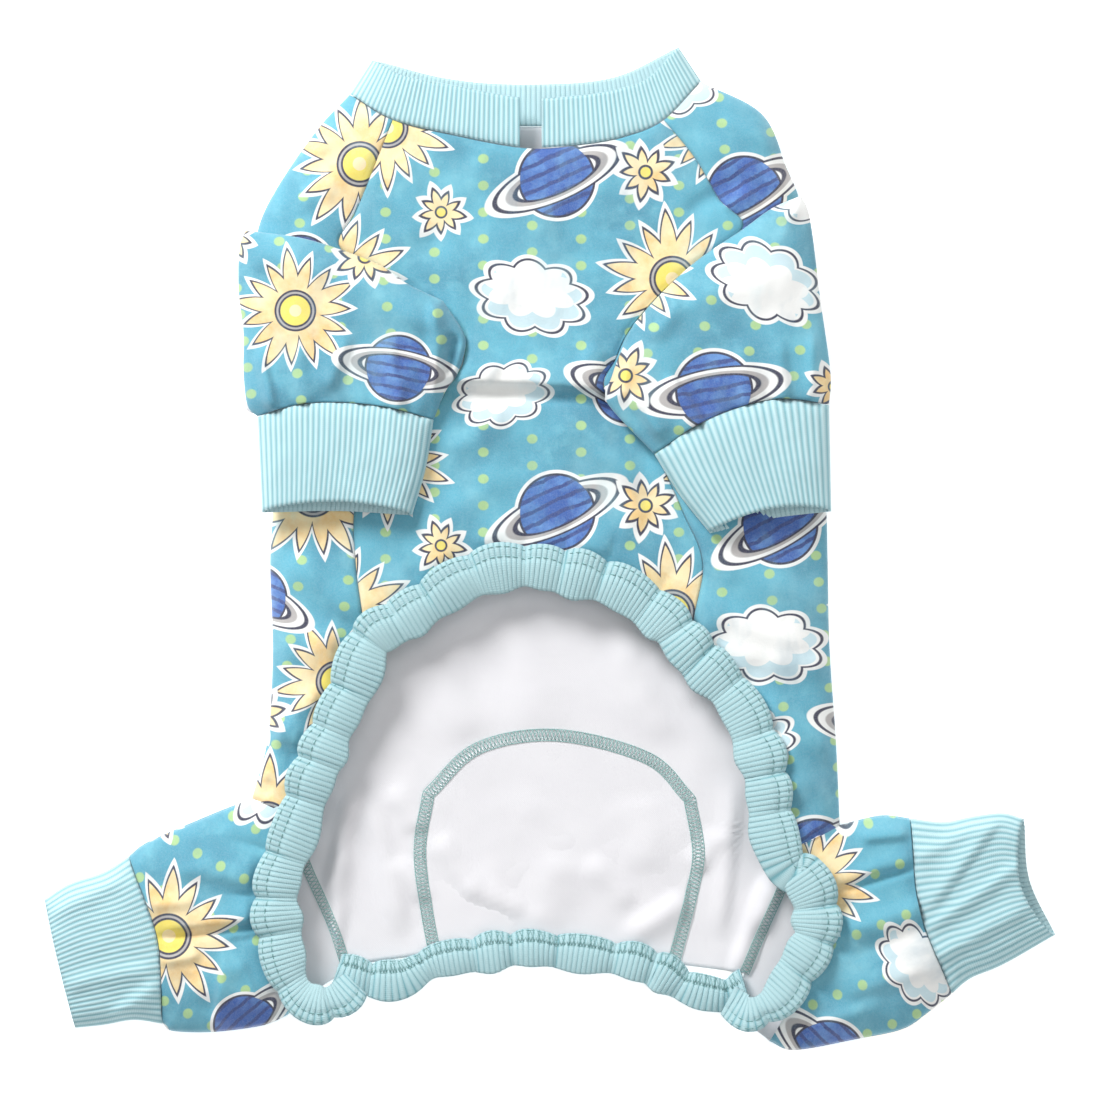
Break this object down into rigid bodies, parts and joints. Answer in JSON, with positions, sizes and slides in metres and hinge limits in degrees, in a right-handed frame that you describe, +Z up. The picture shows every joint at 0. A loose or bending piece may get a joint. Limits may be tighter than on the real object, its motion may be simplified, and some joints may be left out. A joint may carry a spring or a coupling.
{
  "type": "dog jumpsuit",
  "caption": "Four-legged dog jumpsuit laid flat with its belly side up: rib collar and cuffs, folded-back sleeves, and a gathered rib edge round the belly opening.",
  "frame": {"origin": "on the surface the suit lies on, under the middle of its outline", "axes": "+Z up out of the surface, towards the belly side; +Y from the rump towards the neck; +X to the right as seen from above"},
  "size_m": [0.4568, 0.4532, 0.0268],
  "materials": {
    "print_aqua": "soft printed knit with a low pile",
    "rib_aqua": "matte rib knit"
  },
  "bodies": {
    "root": {"back_panel": "print_aqua", "rump_panel": "print_aqua", "belly_panel": "print_aqua", "collar": "rib_aqua", "left_sleeve": "print_aqua", "right_sleeve": "print_aqua", "left_front_cuff": "rib_aqua", "right_front_cuff": "rib_aqua", "left_leg": "print_aqua", "right_leg": "print_aqua", "left_hind_cuff": "rib_aqua", "right_hind_cuff": "rib_aqua", "opening_trim": "rib_aqua", "rump_trim": "rib_aqua"}
  },
  "joints": []
}
